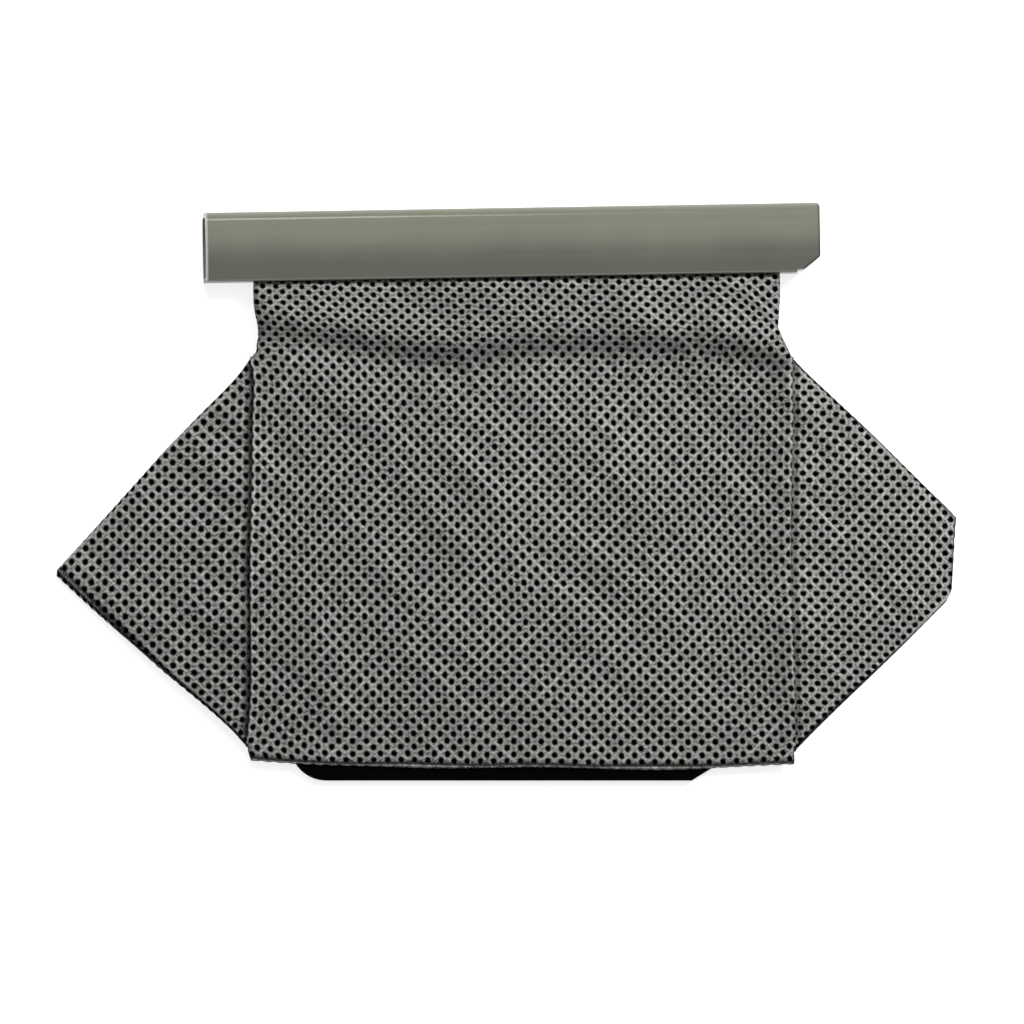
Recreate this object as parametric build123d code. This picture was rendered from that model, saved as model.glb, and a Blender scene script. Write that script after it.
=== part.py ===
from build123d import *

import math
import os

# Washable cloth dust bag of a vacuum cleaner, lying flat on its collar.
# +X runs along the slide clip, +Y from the bottom seam to the mouth and +Z up from the collar's outer face.
# The origin is the middle of the inlet on that face. All sizes are millimetres and degrees.

# Cloth bag: one nonwoven sheet folded to a front panel, a back panel and two side gussets.
CLOTH = 0.7  # thickness of the sheet
PANEL_WIDTH = 142.0  # front panel between its two long folds
SEAM_WIDTH = 3.5  # welded band along the bottom
SEAM_DEPTH = 3.0  # thickness of that band
BODY_LENGTH = 101.5  # welded band to the head of the gussets
BODY_DEPTH = 7.6  # back panel to the front panel's long folds
BODY_SHOULDER = 13.0  # length over which the body thins at either end
HEAD_DEPTH = 6.2  # thickness at the head of the gussets
CROWN = 2.6  # how far the front panel swells between its long folds
CREASE_RISE = 5.4  # head of the gussets to the cross crease
CREASE_DEPTH = 3.6  # thickness at the crease
RIDGE_RISE = 7.0  # crease to the ridge above it
RIDGE_DEPTH = 5.4  # thickness at the ridge
LIP_RISE = 10.4  # ridge to the clip

# Gussets: both lie outwards as flat wings with folded edges at about 45 degrees.
LEFT_REACH = 51.0  # left tip outside the panel's fold
LEFT_TIP_RISE = 47.4  # left tip above the wing's foot
RIGHT_REACH = 42.3  # right edge outside the panel's fold
RIGHT_EDGE_RISE = 41.2  # foot of the blunt right edge above the wing's foot
RIGHT_EDGE_LENGTH = 20.8
RIGHT_EDGE_LEAN = 1.3  # how far the blunt edge leans in at its foot
WING_ROOT_INSET = 0.2  # wing's underside above the back panel, at the fold
WING_DROP = 1.2  # wing's upper face below the panel's fold
WING_TIP_DEPTH = 2.0  # thickness of a wing at its tip
WING_TIP_LIFT = 0.4  # underside of that tip above the collar's outer face
WING_TIP_ROUNDING = 1.2

# Mouth: each lip has a hem with a flat stiffening strip in it, for the clip to slide on.
MOUTH_WIDTH = 136.5
MOUTH_SHIFT = -1.2  # middle of the mouth beside the middle of the panel
MOUTH_TILT = 0.95  # how far the mouth and its clip are turned on the bag
LIP_SLIT = 0.3  # gap between the closed lips
HEM_ROUNDING = 0.6
STRIP_HEIGHT = 13.3
STRIP_THICK = 1.2
STRIP_CORNER = 2.0
STRIP_PLAY = 0.1  # gap round a strip in its hem
STRIP_INSET = 1.0  # strip's end inside the hem's end

# Slide clip: a C-shaped extrusion that slides sideways off the two hems.
CLIP_LEFT_OVERHANG = 13.8  # beyond the mouth
CLIP_RIGHT_OVERHANG = 10.4
CLIP_WALL = 1.3
CLIP_PLAY = 0.3  # gap between the clip and the cloth
CLIP_BOW = 0.8  # how far its two walls bulge
CLIP_BACK_ROUNDING = 2.6
CLIP_LIP_ROUNDING = 0.8
CLIP_CAVITY_ROUNDING = 0.5
CLIP_END_SLANT = 8.0  # slant of the left end's cut
CLIP_RELIEF_LENGTH = 6.0  # trimmed lips at the right end, where the hems enter
CLIP_RELIEF_HEIGHT = 0.8
CLIP_LEAD_LENGTH = 4.1  # cut-off corner in the trimmed length
CLIP_LEAD_HEIGHT = 3.2
CLIP_END_ROUNDING = 1.2

# Collar: a moulded plate with a rim, a boss and ribs on its outer face.
COLLAR_WIDTH = 121.0
COLLAR_HEIGHT = 102.0
COLLAR_WEB = 2.0  # thickness between the ribs
COLLAR_CORNER = 9.5
COLLAR_KEY_LENGTH = 16.3  # cut-off corner that keys the collar in its holder
COLLAR_KEY_HEIGHT = 10.0
COLLAR_OVERHANG = 3.2  # collar below the bottom seam
COLLAR_EDGE_CHAMFER = 0.4
COLLAR_HOLE_RADIUS = 22.0
RIM_WIDTH = 2.2
RIM_HEIGHT = 1.2
BOSS_MARGIN = 1.0  # stake heads to the boss round them
BOSS_WIDTH = 2.0
RIB_WIDTH = 1.6
RIB_ANGLES = (38, 142, 218, 322)

# Inlet seal: a rubber grommet with a thin lip, held by the collar's hole.
INLET_RADIUS = 17.5
LIP_BEAD_LENGTH = 2.0  # along the inlet's axis
LIP_BEAD_WIDTH = 1.2
LIP_THICK = 0.9
SEAL_BODY = 1.5  # grommet's wall in the collar's hole
SEAL_FLANGE = 2.6  # beyond the collar's hole
SEAL_FLANGE_THICK = 0.8
SEAL_PLAY = 0.1

# Clamp ring: holds the cloth on the collar with heat-staked pins.
RING_GAP = 0.6  # seal's flange to the cloth and the ring
RING_WIDTH = 9.0
RING_THICK = 1.5
RING_CHAMFER = 0.5
STAKE_COUNT = 6
STAKE_RADIUS = 1.4
STAKE_PLAY = 0.1
STAKE_HEAD_RADIUS = 2.4
STAKE_HEAD_THICK = 0.7

# Places that follow from the sizes above.
OVERLAP = 1.0  # how far solids that are joined or cut run past each other
BACK = RIM_HEIGHT + COLLAR_WEB  # outer face of the back panel, on the collar
HALF_PANEL = PANEL_WIDTH / 2
HALF_MOUTH = MOUTH_WIDTH / 2
SEAM_Y = COLLAR_OVERHANG - COLLAR_HEIGHT / 2
WING_FOOT_Y = SEAM_Y + SEAM_WIDTH
WING_HEAD_Y = WING_FOOT_Y + BODY_LENGTH
CREASE_Y = WING_HEAD_Y + CREASE_RISE
RIDGE_Y = CREASE_Y + RIDGE_RISE
CLIP_Y = RIDGE_Y + LIP_RISE
HEM_HEIGHT = STRIP_HEIGHT + 2 * (STRIP_PLAY + CLOTH)
HEM_THICK = STRIP_THICK + 2 * (STRIP_PLAY + CLOTH)
HEM_FOOT = CLIP_WALL + CLIP_PLAY  # above the clip's lower edge
HEM_HEAD = HEM_FOOT + HEM_HEIGHT
LIP_HALF = LIP_SLIT / 2 + CLOTH  # half the thickness of the two closed lips
CAVITY_HEIGHT = HEM_HEIGHT + 2 * CLIP_PLAY
CAVITY_THICK = LIP_SLIT + 2 * (HEM_THICK + CLIP_PLAY)
CLIP_HEIGHT = CAVITY_HEIGHT + 2 * CLIP_WALL
CLIP_THICK = CAVITY_THICK + 2 * CLIP_WALL
MOUTH_Z = CLIP_THICK / 2 + CLIP_BOW
MOUTH_PLACE = Location((MOUTH_SHIFT, CLIP_Y, MOUTH_Z), (0, 0, MOUTH_TILT))
SEAL_RADIUS = COLLAR_HOLE_RADIUS + SEAL_FLANGE
RING_RADIUS = SEAL_RADIUS + RING_GAP  # inner edge of the ring and of the hole in the cloth
STAKE_CIRCLE = RING_RADIUS + RING_WIDTH / 2
BOSS_RADIUS = STAKE_CIRCLE + STAKE_HEAD_RADIUS + BOSS_MARGIN


def along_x(sketch, length):
    """Extrudes a sketch drawn in (Y, Z) along X, half of the length to either side."""
    return extrude(Plane.YZ * sketch, length / 2, both=True)


def box_between(low, high):
    """Box between two opposite corners."""
    size = [b - a for a, b in zip(low, high)]
    return Pos(*low) * Box(*size, align=Align.MIN)


def stakes(radius, bottom, top):
    """Round pins on the clamp ring's circle, from one height to another."""
    pin = Pos(0, 0, bottom) * Cylinder(radius, top - bottom, align=(Align.CENTER, Align.CENTER, Align.MIN))
    return [place * pin for place in PolarLocations(STAKE_CIRCLE, STAKE_COUNT)]


def body_section(y, left, right, back, front, crown, turn=0):
    """Cross-section of the bag at y: flat back, straight sides and a front that swells by the crown."""
    angle = math.radians(turn)
    across = (math.cos(angle), math.sin(angle), 0)
    towards_seam = (math.sin(angle), -math.cos(angle), 0)
    plane = Plane(origin=((left + right) / 2, y, 0), x_dir=across, z_dir=towards_seam)
    half = (right - left) / 2
    corners = (-half, front), (half, front)
    top = ThreePointArc(corners[0], (0, front + crown), corners[1]) if crown else Line(*corners)
    rest = Polyline((half, front), (half, back), (-half, back), (-half, front))
    return plane * make_face(Curve() + [top, rest])


def bag_body(inset):
    """Bag from the bottom seam to the clip, with every face moved inwards by the inset."""
    panel = (-HALF_PANEL, HALF_PANEL)
    mouth = (MOUTH_SHIFT - HALF_MOUTH, MOUTH_SHIFT + HALF_MOUTH)
    stations = [
        (SEAM_Y + inset, panel, SEAM_DEPTH, CROWN / 8),
        (WING_FOOT_Y, panel, SEAM_DEPTH, CROWN / 4),
        (WING_FOOT_Y + BODY_SHOULDER, panel, BODY_DEPTH, CROWN),
        (WING_HEAD_Y - BODY_SHOULDER, panel, BODY_DEPTH, CROWN),
        (WING_HEAD_Y, panel, HEAD_DEPTH, CROWN / 2),
        (CREASE_Y, mouth, CREASE_DEPTH, CROWN / 4),
        (RIDGE_Y, mouth, RIDGE_DEPTH, CROWN / 2),
    ]
    sections = [
        body_section(y, sides[0] + inset, sides[1] - inset, BACK + inset, BACK + depth - inset, crown)
        for y, sides, depth, crown in stations
    ]
    lip_half = LIP_HALF - inset
    lips = body_section(
        CLIP_Y, mouth[0] + inset, mouth[1] - inset, MOUTH_Z - lip_half, MOUTH_Z + lip_half, 0, MOUTH_TILT
    )
    return loft(sections + [lips], ruled=True)


def wing(side, reach, tips, inset):
    """Gusset on one side (-1 left, 1 right): its plan, cut out of a wedge that thins towards its tip.

    The tips are (how far in from the reach, height above the wing's foot), from the foot upwards.
    The roof lowers the wedge at either end of the fold, where the body is thinner.
    """
    root = HALF_PANEL - 3 * CLOTH
    crest = BACK + BODY_DEPTH - WING_DROP
    edge = [(HALF_PANEL + reach - back_off, WING_FOOT_Y + rise) for back_off, rise in tips]
    fold = [(HALF_PANEL, WING_FOOT_Y), *edge, (HALF_PANEL, WING_HEAD_Y)]
    plan = make_face(Polyline(*fold, (root, WING_HEAD_Y), (root, WING_FOOT_Y), close=True))
    wedge = make_face(
        Polyline(
            (root, BACK + WING_ROOT_INSET),
            (HALF_PANEL + reach, WING_TIP_LIFT),
            (HALF_PANEL + reach, WING_TIP_LIFT + WING_TIP_DEPTH),
            (root, crest),
            close=True,
        )
    )
    roof = make_face(
        Polyline(
            (WING_FOOT_Y, 0),
            (WING_FOOT_Y, BACK + SEAM_DEPTH - WING_DROP),
            (WING_FOOT_Y + BODY_SHOULDER, crest),
            ((WING_FOOT_Y + WING_HEAD_Y) / 2, crest + OVERLAP),
            (WING_HEAD_Y - BODY_SHOULDER, crest),
            (WING_HEAD_Y, BACK + HEAD_DEPTH - WING_DROP),
            (WING_HEAD_Y, 0),
            close=True,
        )
    )
    if inset:
        plan, wedge, roof = (offset(face, -inset, kind=Kind.INTERSECTION) for face in (plan, wedge, roof))
    else:
        plan = fillet(plan.vertices().sort_by(Axis.X)[-len(tips):], WING_TIP_ROUNDING)
    column = extrude(plan, BACK + BODY_DEPTH)
    band = extrude(Plane.XZ * wedge, WING_HEAD_Y - WING_FOOT_Y + PANEL_WIDTH, both=True)
    solid = column & band & along_x(roof, 2 * (PANEL_WIDTH + reach))
    return solid if side > 0 else mirror(solid, Plane.YZ)


def wings(inset):
    """Both gussets: the left one comes to a point, the right one is blunt."""
    left_tips = [(0, LEFT_TIP_RISE)]
    right_tips = [(RIGHT_EDGE_LEAN, RIGHT_EDGE_RISE), (0, RIGHT_EDGE_RISE + RIGHT_EDGE_LENGTH)]
    return [wing(-1, LEFT_REACH, left_tips, inset), wing(1, RIGHT_REACH, right_tips, inset)]


def hem_middle(side):
    """Middle of a hem (1 front, -1 rear) in the mouth's own (Y, Z)."""
    return (HEM_FOOT + HEM_HEAD) / 2, side * (LIP_SLIT + HEM_THICK) / 2


def mouth_lips():
    """Closed lips and their two hems, in the mouth's own place."""
    lips = Pos(HEM_HEAD / 2 - OVERLAP, 0) * Rectangle(HEM_HEAD, 2 * LIP_HALF)
    hem = RectangleRounded(HEM_HEIGHT, HEM_THICK, HEM_ROUNDING)
    profile = lips + [Pos(*hem_middle(side)) * hem for side in (1, -1)]
    return MOUTH_PLACE * along_x(profile, MOUTH_WIDTH)


def mouth_hollows():
    """Slit between the lips and the pocket in each hem, in the mouth's own place."""
    half_slit = LIP_SLIT / 2
    inside = HALF_MOUTH - CLOTH
    outside = HALF_MOUTH + OVERLAP
    slit = box_between((-inside, -OVERLAP, -half_slit), (inside, HEM_FOOT, half_slit))
    gap = box_between((-outside, HEM_FOOT, -half_slit), (outside, HEM_HEAD + OVERLAP, half_slit))
    pocket = Rectangle(HEM_HEIGHT - 2 * CLOTH, HEM_THICK - 2 * CLOTH)
    pockets = [along_x(Pos(*hem_middle(side)) * pocket, 2 * outside) for side in (1, -1)]
    return [MOUTH_PLACE * hollow for hollow in [slit, gap, *pockets]]


def bag_cloth():
    """The folded sheet: a hollow shell, open at the inlet, between the lips and in the hems."""
    outside = bag_body(0) + wings(0) + mouth_lips()
    hollow = bag_body(CLOTH) + wings(CLOTH)
    inlet = Pos(0, 0, BACK) * Cylinder(RING_RADIUS, 2 * (CLOTH + OVERLAP))
    holes = stakes(STAKE_RADIUS + STAKE_PLAY, BACK - OVERLAP, BACK + CLOTH + OVERLAP)
    return outside - hollow - mouth_hollows() - inlet - holes


def mouth_strip(side):
    """Flat stiffening strip in one hem (1 front, -1 rear)."""
    width = 2 * (HALF_MOUTH - STRIP_INSET)
    y, z = hem_middle(side)
    strip = extrude(RectangleRounded(width, STRIP_HEIGHT, STRIP_CORNER), STRIP_THICK / 2, both=True)
    return MOUTH_PLACE * Pos(0, y, z) * strip


def bowed_section(foot, head, half):
    """Section between two heights in the mouth's own (Y, Z), with sides that bulge by the bow."""
    middle = (foot + head) / 2
    front = ThreePointArc((foot, half), (middle, half + CLIP_BOW), (head, half))
    rear = ThreePointArc((head, -half), (middle, -half - CLIP_BOW), (foot, -half))
    ends = [Line((head, half), (head, -half)), Line((foot, -half), (foot, half))]
    return make_face(Curve() + [front, rear, *ends])


def clip_profile():
    """C-shaped section of the clip with even walls and its lower edge at Y = 0."""
    outside = bowed_section(0, CLIP_HEIGHT, CLIP_THICK / 2)
    outside = fillet(outside.vertices().sort_by(Axis.X)[-2:], CLIP_BACK_ROUNDING)
    outside = fillet(outside.vertices().sort_by(Axis.X)[:2], CLIP_LIP_ROUNDING)
    cavity = bowed_section(CLIP_WALL, CLIP_WALL + CAVITY_HEIGHT, CAVITY_THICK / 2)
    cavity = fillet(cavity.vertices(), CLIP_CAVITY_ROUNDING)
    slot = Rectangle(2 * (CLIP_WALL + OVERLAP), 2 * (LIP_HALF + CLIP_PLAY))
    return outside - cavity - slot


def slide_clip():
    """Extruded channel, cut at a slant on the left and with a lead-in corner on the right."""
    left = -HALF_MOUTH - CLIP_LEFT_OVERHANG
    right = HALF_MOUTH + CLIP_RIGHT_OVERHANG
    relief = right - CLIP_RELIEF_LENGTH
    outline = make_face(
        Polyline(
            (left, 0),
            (relief, 0),
            (relief, CLIP_RELIEF_HEIGHT),
            (right - CLIP_LEAD_LENGTH, CLIP_RELIEF_HEIGHT),
            (right, CLIP_RELIEF_HEIGHT + CLIP_LEAD_HEIGHT),
            (right, CLIP_HEIGHT),
            (left, CLIP_HEIGHT),
            close=True,
        )
    )
    outline = fillet(outline.vertices().sort_by(Axis.X)[-2:], CLIP_END_ROUNDING)
    channel = along_x(clip_profile(), 2 * max(right, -left))
    channel = channel & extrude(outline, CLIP_THICK, both=True)
    half = CLIP_THICK / 2 + CLIP_BOW
    slant = 2 * half * math.tan(math.radians(CLIP_END_SLANT))
    wedge = make_face(Polyline((left, -half), (left + slant, half), (left, half), close=True))
    cut = extrude(Plane.XZ * wedge, 2 * CLIP_HEIGHT, both=True)
    return MOUTH_PLACE * (channel - cut)


def collar_outline():
    """Collar seen from above: three round corners, and a cut-off one that keys it in its holder."""
    half_width = COLLAR_WIDTH / 2
    half_height = COLLAR_HEIGHT / 2
    plate = RectangleRounded(COLLAR_WIDTH, COLLAR_HEIGHT, COLLAR_CORNER)
    corner = Pos(half_width - COLLAR_CORNER, -half_height) * Rectangle(
        COLLAR_CORNER, COLLAR_CORNER, align=Align.MIN
    )
    key = Polyline(
        (half_width, -half_height),
        (half_width, COLLAR_KEY_HEIGHT - half_height),
        (half_width - COLLAR_KEY_LENGTH, -half_height),
        close=True,
    )
    return plate + corner - make_face(key)


def collar_ribs():
    """Straight ribs from the boss towards the corners, as a sketch."""
    reach = math.hypot(COLLAR_WIDTH, COLLAR_HEIGHT) / 2
    length = reach - BOSS_RADIUS
    bar = Pos(BOSS_RADIUS + length / 2, 0) * Rectangle(length, RIB_WIDTH)
    return [Rot(0, 0, angle) * bar for angle in RIB_ANGLES]


def collar_plate():
    """Moulded plate: its web carries the cloth, and its rim, boss and ribs face outwards."""
    outline = collar_outline()
    rim = outline - offset(outline, -RIM_WIDTH, kind=Kind.INTERSECTION)
    boss = Circle(BOSS_RADIUS + BOSS_WIDTH) - Circle(BOSS_RADIUS)
    stiffeners = rim + boss + [rib & outline for rib in collar_ribs()]
    web = Pos(0, 0, RIM_HEIGHT) * extrude(outline, COLLAR_WEB)
    web = chamfer(web.faces().sort_by(Axis.Z)[-1].edges(), COLLAR_EDGE_CHAMFER)
    plate = web + extrude(stiffeners, RIM_HEIGHT)
    hole = Cylinder(COLLAR_HOLE_RADIUS, 2 * (BACK + OVERLAP))
    return plate - hole - stakes(STAKE_RADIUS + STAKE_PLAY, -OVERLAP, BACK + OVERLAP)


def inlet_seal():
    """Rubber grommet: two flanges grip the collar, and a thin lip ends in a bead flush with the rim."""
    inner = COLLAR_HOLE_RADIUS - SEAL_BODY
    groove = COLLAR_HOLE_RADIUS - SEAL_PLAY
    bead = INLET_RADIUS + LIP_BEAD_WIDTH
    lip_foot = (LIP_BEAD_LENGTH - LIP_THICK) / 2
    lip_head = (LIP_BEAD_LENGTH + LIP_THICK) / 2
    foot = RIM_HEIGHT - SEAL_FLANGE_THICK
    head = BACK + SEAL_FLANGE_THICK
    profile = make_face(
        Polyline(
            (INLET_RADIUS, 0),
            (bead, 0),
            (bead, lip_foot),
            (inner, lip_foot),
            (inner, foot),
            (SEAL_RADIUS, foot),
            (SEAL_RADIUS, RIM_HEIGHT),
            (groove, RIM_HEIGHT),
            (groove, BACK),
            (SEAL_RADIUS, BACK),
            (SEAL_RADIUS, head),
            (inner, head),
            (inner, lip_head),
            (bead, lip_head),
            (bead, LIP_BEAD_LENGTH),
            (INLET_RADIUS, LIP_BEAD_LENGTH),
            close=True,
        )
    )
    return revolve(Plane.XZ * profile, Axis.Z)


def clamp_ring():
    """Ring inside the bag, with pins through the cloth and the collar and staked heads outside."""
    bottom = BACK + CLOTH
    ring = extrude(Circle(RING_RADIUS + RING_WIDTH) - Circle(RING_RADIUS), RING_THICK)
    ring = Pos(0, 0, bottom) * chamfer(ring.faces().sort_by(Axis.Z)[-1].edges(), RING_CHAMFER)
    pins = stakes(STAKE_RADIUS, RIM_HEIGHT - STAKE_HEAD_THICK, bottom + RING_THICK / 2)
    heads = stakes(STAKE_HEAD_RADIUS, RIM_HEIGHT - STAKE_HEAD_THICK, RIM_HEIGHT)
    return ring + pins + heads


def main():
    nodes = {
        "bag_cloth": bag_cloth(),
        "front_mouth_strip": mouth_strip(1),
        "rear_mouth_strip": mouth_strip(-1),
        "slide_clip": slide_clip(),
        "collar_plate": collar_plate(),
        "inlet_seal": inlet_seal(),
        "clamp_ring": clamp_ring(),
    }
    os.makedirs("parts", exist_ok=True)
    for name, solid in nodes.items():
        export_step(solid, f"parts/{name}.step")
        print(name, len(solid.solids()), round(solid.volume, 1), solid.bounding_box())


main()
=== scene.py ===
"""Looks of a washable cloth dust bag: embossed nonwoven sheets, slide clip, keyed collar and stage."""

import math

import bpy
import numpy as np
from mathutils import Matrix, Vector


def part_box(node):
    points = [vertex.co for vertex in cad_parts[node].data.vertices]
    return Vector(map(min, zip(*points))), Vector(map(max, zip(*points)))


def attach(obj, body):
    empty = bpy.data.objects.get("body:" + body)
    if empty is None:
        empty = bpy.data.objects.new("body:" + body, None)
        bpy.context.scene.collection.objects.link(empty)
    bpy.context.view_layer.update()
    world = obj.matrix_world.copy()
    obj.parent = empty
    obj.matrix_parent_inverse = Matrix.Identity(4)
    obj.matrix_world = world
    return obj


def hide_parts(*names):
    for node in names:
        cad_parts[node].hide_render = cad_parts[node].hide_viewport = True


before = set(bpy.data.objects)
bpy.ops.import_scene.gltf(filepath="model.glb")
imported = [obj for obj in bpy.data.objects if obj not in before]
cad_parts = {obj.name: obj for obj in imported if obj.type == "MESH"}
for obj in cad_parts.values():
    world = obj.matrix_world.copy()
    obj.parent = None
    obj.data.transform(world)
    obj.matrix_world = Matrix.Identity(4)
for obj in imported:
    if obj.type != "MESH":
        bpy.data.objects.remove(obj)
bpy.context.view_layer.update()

bl_info = {
    "name": "Cloth dust bag",
    "version": (1, 0, 0),
    "blender": (4, 5, 0),
    "location": "3D View > Sidebar > Dust Bag",
    "description": "Builds the looks of a washable cloth dust bag around its fixed solids",
    "category": "Add Mesh",
}

MM = 0.001

# Lines of the folded bag in millimetres. The panel's middle is at x = 0.
PANEL_HALF = 71.0
SEAM_Y = float(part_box("bag_cloth")[0][1]) / MM
FOOT_Y = SEAM_Y + 3.5  # lower ends of the wings' roots
HEAD_Y = 57.2  # where the panel turns into the neck
CLIP_Y = 80.0  # the clip's lower edge

# The flat cut of a sheet: columns and rows of cells, six to a dot pitch.
CELLS_PER_PITCH = 6
COLUMN = PANEL_HALF / 125
ROW = (HEAD_Y - SEAM_Y) / 181
ROWS = 280
PITCH = (COLUMN * CELLS_PER_PITCH, ROW * CELLS_PER_PITCH)
WALL_CELLS = 4
WALL = WALL_CELLS * COLUMN  # cloth in the tuck from the panel's fold back under it to a wing
TUCK_LEAN = math.radians(45)  # by which the tuck goes back under the fold
TUCK_DROP = 1.7

# Outline of the neck and the wings.
LEFT_NECK = -69.9
RIGHT_NECK = 67.05
WING_HEAD_Y = HEAD_Y + 2.1  # upper ends of the wings' roots
LEFT_NECK_Y = WING_HEAD_Y + 2 * ROW
RIGHT_NECK_Y = HEAD_Y + 16 * ROW
LEFT_TIP = (-122.0, FOOT_Y + 47.4)
RIGHT_LOW = (112.0, FOOT_Y + 41.2)
RIGHT_HIGH = (113.3, FOOT_Y + 62.0)
# Slip of each wing's upper layer along its lower edge, from one end to the other.
SLIPS = ((-1, LEFT_TIP, (-PANEL_HALF, FOOT_Y), ((0, 2.2), (0.38, 1.7), (0.58, 0.9), (0.75, 0.7), (1, 0.5))),
         (1, (PANEL_HALF, FOOT_Y), RIGHT_LOW, ((0, 0.9), (0.35, 0.8), (0.6, 0.4), (1, 0.1))))
TIP_BLUNT = 0.7  # cut off the left wing's point
CORNER_CUT = 1.4  # cut off the right wing's lower corner

# Painted light and shade on the front panel, in pale and dark patches: x, y and tone.
PATCHES = ((-24, 6, -0.1), (-55, -14, -0.1), (-63, -35, -0.1), (63, 12, -0.1), (64, -14, -0.1),
           (2, 19, 0.12), (33, 40, 0.12), (15, -27, 0.12))

# Heights in millimetres above the surface that the bag lies on.
BACK_Z = float(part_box("collar_plate")[1][2]) / MM
CLOTH_LIFT = 0.1  # of the back sheet above the collar
SEAM_RISE = 1.6
PANEL_RISE = 7.4
CROWN = 2.5
SHOULDER = 22.0  # run of the rise above the bottom seam
WING_TIP_Z = 2.3
WING_BACK_Z = 3.5
WING_TIP_BACK_Z = 0.5

# The clip's middle plane and turn, and the hems that it grips.
MOUTH_X = -1.2
MOUTH_Z = float(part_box("slide_clip")[1][2]) / MM / 2
MOUTH_TURN = math.radians(0.95)
CUT_X = -81.95  # along the clip from its middle to the foot of its slanted left end
CUT_SLANT = math.radians(8)
CLIP_END = 78.65  # along the clip from its middle to its right end
RELIEF = 0.8  # by which the open edge is trimmed at the right end
LEAD = (4.1, 3.2)  # the lead-in corner there, along and across
LIP = 0.85  # from the middle plane to a lip's outer face
SLIT = 0.15  # from the middle plane to a hem's inner face
HEM_THICK = 2.8
HEM_FOOT = 1.6
HEM_HEAD = 16.5

# The crease below the mouth, from left to right: its x and y, and the share of its full depth at an x.
CREASE_LINE = ((-72, 68.4), (-66, 67.2), (-45, 63.4), (-21, 59.8), (0, 61.6), (18, 62.6), (41, 62.2),
               (58, 60.3), (72, 57.0))
CREASE_SHARE = ((-72, 0.45), (-50, 0.75), (-22, 0.9), (5, 0.75), (35, 0.7), (60, 0.85), (72, 0.7))
# Slack folds: length of a wave, direction in degrees, phase and height.
FOLD_TRAINS = ((31, 44, 0.2, 1.0), (19, 52, 2.1, 0.6), (47, 30, 4.0, 0.9), (12.5, 47, 1.0, 0.3))
# Height of the panel's sides above the back at a y, and how much higher its middle is.
PANEL_SIDE = ((SEAM_Y, SEAM_RISE), (FOOT_Y, SEAM_RISE + 0.9), (FOOT_Y + 8, 4.9),
              (FOOT_Y + SHOULDER, PANEL_RISE - 0.6), (5, PANEL_RISE + 0.3), (HEAD_Y - 15, PANEL_RISE),
              (HEAD_Y, 6.2), (68, 5.9), (CLIP_Y - 5, 5.8), (CLIP_Y - 2, 5.5), (CLIP_Y - 0.8, 4.6),
              (CLIP_Y, MOUTH_Z + LIP - BACK_Z))
PANEL_CROWN = ((SEAM_Y, 0), (FOOT_Y, 0.3), (FOOT_Y + SHOULDER, CROWN - 0.3), (5, CROWN),
               (HEAD_Y - 15, CROWN - 0.3), (HEAD_Y, 1.0), (66, 0.4), (CLIP_Y, 0))
# How far the bottom edge has drawn up at an x, and how far the panel's two folds have drawn in at a y.
SEAM_DRAWN = ((-75, 2.5), (-71, 2.2), (-58.5, 1.05), (-31.7, 0.4), (0, 0.2), (48, 0.0), (71, 0.9), (75, 1.1))
LEFT_INSET = ((SEAM_Y, 0.4), (FOOT_Y, -0.5), (FOOT_Y + 4, 0.0), (8, 0.8), (42, 1.4), (56, 1.3),
              (WING_HEAD_Y, 0.5), (LEFT_NECK_Y + 4, 0.2), (CLIP_Y, 0.0))
RIGHT_INSET = ((SEAM_Y, 0.0), (FOOT_Y, 0.1), (-18, 0.8), (10, 1.7), (42, 1.0), (WING_HEAD_Y, 0.8),
               (LEFT_NECK_Y + 6, 0.1), (CLIP_Y, 0.0))
# Wrinkles on the right: the direction across them, and the place beside the neck where they are tightest.
ACROSS_X, ACROSS_Y = 0.62, 0.78
PINCH_X, PINCH_Y = 61, 72
# Distances of the rows of points that round an edge, and of those on the neck's sides.
EDGE_ROUNDS = (0.3, 0.8)
NECK_ROUNDS = (0.4, 1.2)
# The cut over the right wing's lower corner.
CORNER_SHARE = 0.35
CORNER_NORMAL = (0.92, -0.39)


def linear(code):
    """Linear colour of an sRGB hex code such as #8c8e8b."""
    parts = [int(code[i:i + 2], 16) / 255 for i in (1, 3, 5)]
    return tuple(c / 12.92 if c <= 0.04045 else ((c + 0.055) / 1.055) ** 2.4 for c in parts)


class ClothSettings(bpy.types.PropertyGroup):
    """Sizes and colours of the embossed nonwoven."""

    dot_radius: bpy.props.FloatProperty(
        name="Dot radius", description="Radius of an embossed dot", default=0.77 * MM, unit="LENGTH")
    dot_depth: bpy.props.FloatProperty(
        name="Dot depth", description="Depth of an embossed dot", default=0.22 * MM, unit="LENGTH")
    crease_depth: bpy.props.FloatProperty(
        name="Crease depth", description="Drop of the crease below the mouth", default=2.7 * MM,
        unit="LENGTH")
    fold_height: bpy.props.FloatProperty(
        name="Fold height", description="Height of the soft diagonal folds", default=0.2 * MM,
        unit="LENGTH")
    # The pale end of the web, reached by random pale fibres and by painted highlights round the dots and on
    # the creases.
    fibre_colour: bpy.props.FloatVectorProperty(
        name="Fibre", description="Colour of the fibres that bulge round a dot", default=linear("#cdcfca"),
        subtype="COLOR", size=3, min=0, max=1)
    shade_colour: bpy.props.FloatVectorProperty(
        name="Fibre shade", description="Colour of the web between the dots", default=linear("#343633"),
        subtype="COLOR", size=3, min=0, max=1)
    # Also the colour that the painted shade darkens the cloth towards.
    dot_colour: bpy.props.FloatVectorProperty(
        name="Dot", description="Colour of the fused dots", default=linear("#020202"),
        subtype="COLOR", size=3, min=0, max=1)


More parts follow.
